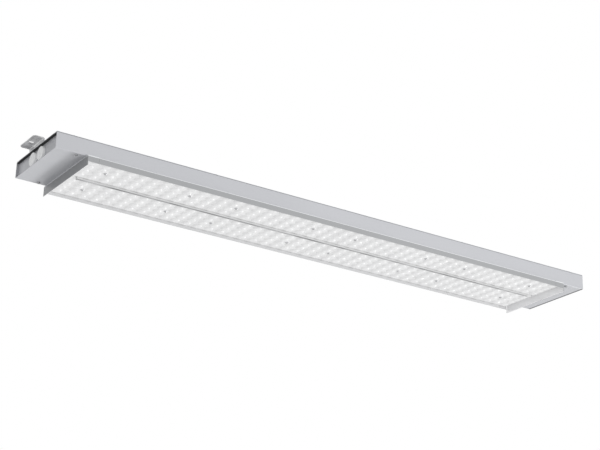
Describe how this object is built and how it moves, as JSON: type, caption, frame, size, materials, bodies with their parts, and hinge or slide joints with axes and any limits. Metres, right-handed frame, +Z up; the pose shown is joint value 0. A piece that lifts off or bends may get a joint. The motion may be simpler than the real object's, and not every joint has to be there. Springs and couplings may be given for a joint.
{
  "type": "linear industrial light fixture",
  "caption": "Long shallow sheet-metal ceiling fixture with two rows of lensed light plates underneath and a slotted bracket at each end.",
  "frame": {"origin": "centre of the two bracket slots, on the upper face of the bracket tongues", "axes": "+X along the fixture, +Y across it, +Z up towards the ceiling; the light leaves towards -Z"},
  "size_m": [1.548, 0.225, 0.0715],
  "materials": {
    "housing_paint": "silver-grey powder coat on sheet steel, satin",
    "module_paint": "silver-grey powder coat on aluminium sheet, satin",
    "bracket_zinc": "zinc-plated steel sheet",
    "fastener_zinc": "zinc-plated steel",
    "lens_screw_steel": "stainless steel",
    "gear_sheet": "galvanised sheet steel",
    "driver_case": "white painted driver case",
    "terminal_plastic": "light grey polyamide",
    "grommet_rubber": "light grey elastomer",
    "seal_foam": "black closed-cell foam",
    "board_white": "white solder resist on an aluminium board",
    "lens_clear": "clear moulded acrylic"
  },
  "bodies": {
    "root": {"bracket_nuts": "fastener_zinc", "bracket_screws": "fastener_zinc", "cable_grommet_left_front": "grommet_rubber", "cable_grommet_left_rear": "grommet_rubber", "cable_grommet_right_front": "grommet_rubber", "cable_grommet_right_rear": "grommet_rubber", "centre_rib": "module_paint", "cover_screws": "fastener_zinc", "cover_seal_left": "seal_foam", "cover_seal_right": "seal_foam", "driver_screws": "fastener_zinc", "earth_nut": "fastener_zinc", "earth_stud": "fastener_zinc", "end_wall_left": "housing_paint", "end_wall_right": "housing_paint", "gear_tray": "gear_sheet", "gear_tray_nuts": "fastener_zinc", "gear_tray_screws": "fastener_zinc", "housing_channel": "housing_paint", "led_board_front_1": "board_white", "led_board_front_2": "board_white", "led_board_front_3": "board_white", "led_board_front_4": "board_white", "led_board_rear_1": "board_white", "led_board_rear_2": "board_white", "led_board_rear_3": "board_white", "led_board_rear_4": "board_white", "led_driver_left": "driver_case", "led_driver_right": "driver_case", "lens_plate_front_1": "lens_clear", "lens_plate_front_2": "lens_clear", "lens_plate_front_3": "lens_clear", "lens_plate_front_4": "lens_clear", "lens_plate_rear_1": "lens_clear", "lens_plate_rear_2": "lens_clear", "lens_plate_rear_3": "lens_clear", "lens_plate_rear_4": "lens_clear", "lens_screws": "lens_screw_steel", "module_end_plate_left": "module_paint", "module_end_plate_right": "module_paint", "module_screws": "fastener_zinc", "module_tray": "module_paint", "mounting_bracket_left": "bracket_zinc", "mounting_bracket_right": "bracket_zinc", "terminal_block": "terminal_plastic", "top_cover": "housing_paint"}
  },
  "joints": []
}
